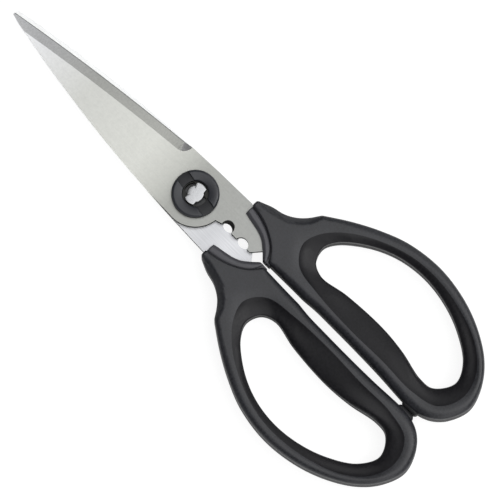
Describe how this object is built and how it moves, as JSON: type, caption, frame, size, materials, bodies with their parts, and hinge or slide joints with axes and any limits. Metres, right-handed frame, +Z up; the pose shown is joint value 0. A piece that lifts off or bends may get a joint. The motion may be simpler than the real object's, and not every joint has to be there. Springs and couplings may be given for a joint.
{
  "type": "kitchen shears",
  "caption": "Kitchen shears with steel blades that turn on a slotted pivot and come apart, stem notches behind it, and soft-lined black handles with large closed finger loops.",
  "frame": {"origin": "middle of the footprint of the closed pair, on the surface that it lies on", "axes": "+Y from the handles to the tips, +X towards the handle of the upper blade, +Z up from the surface, along the pivot"},
  "size_m": [0.09, 0.222, 0.013],
  "materials": {
    "blade_steel": "fine lengthwise grinding lines, satin",
    "stud_steel": "polished",
    "ring_plastic": "smooth moulding, semi-matt",
    "core_plastic": "smooth moulding, semi-matt",
    "shell_plastic": "fine moulded grain",
    "liner_rubber": "soft, matt, lightly grained"
  },
  "bodies": {
    "lower_half": {"rear_blade": "blade_steel", "rear_core": "core_plastic", "rear_shell": "shell_plastic", "rear_liner": "liner_rubber", "pivot_stud": "stud_steel"},
    "upper_half": {"front_blade": "blade_steel", "front_core": "core_plastic", "front_shell": "shell_plastic", "front_liner": "liner_rubber", "pivot_ring": "ring_plastic"}
  },
  "joints": [
    {"name": "blade_pivot", "type": "hinge", "parent": "lower_half", "child": "upper_half", "pos_m": [0, 0.0158, 0.0065], "axis": [0, 0, 1], "range_deg": [0, 100]}
  ]
}
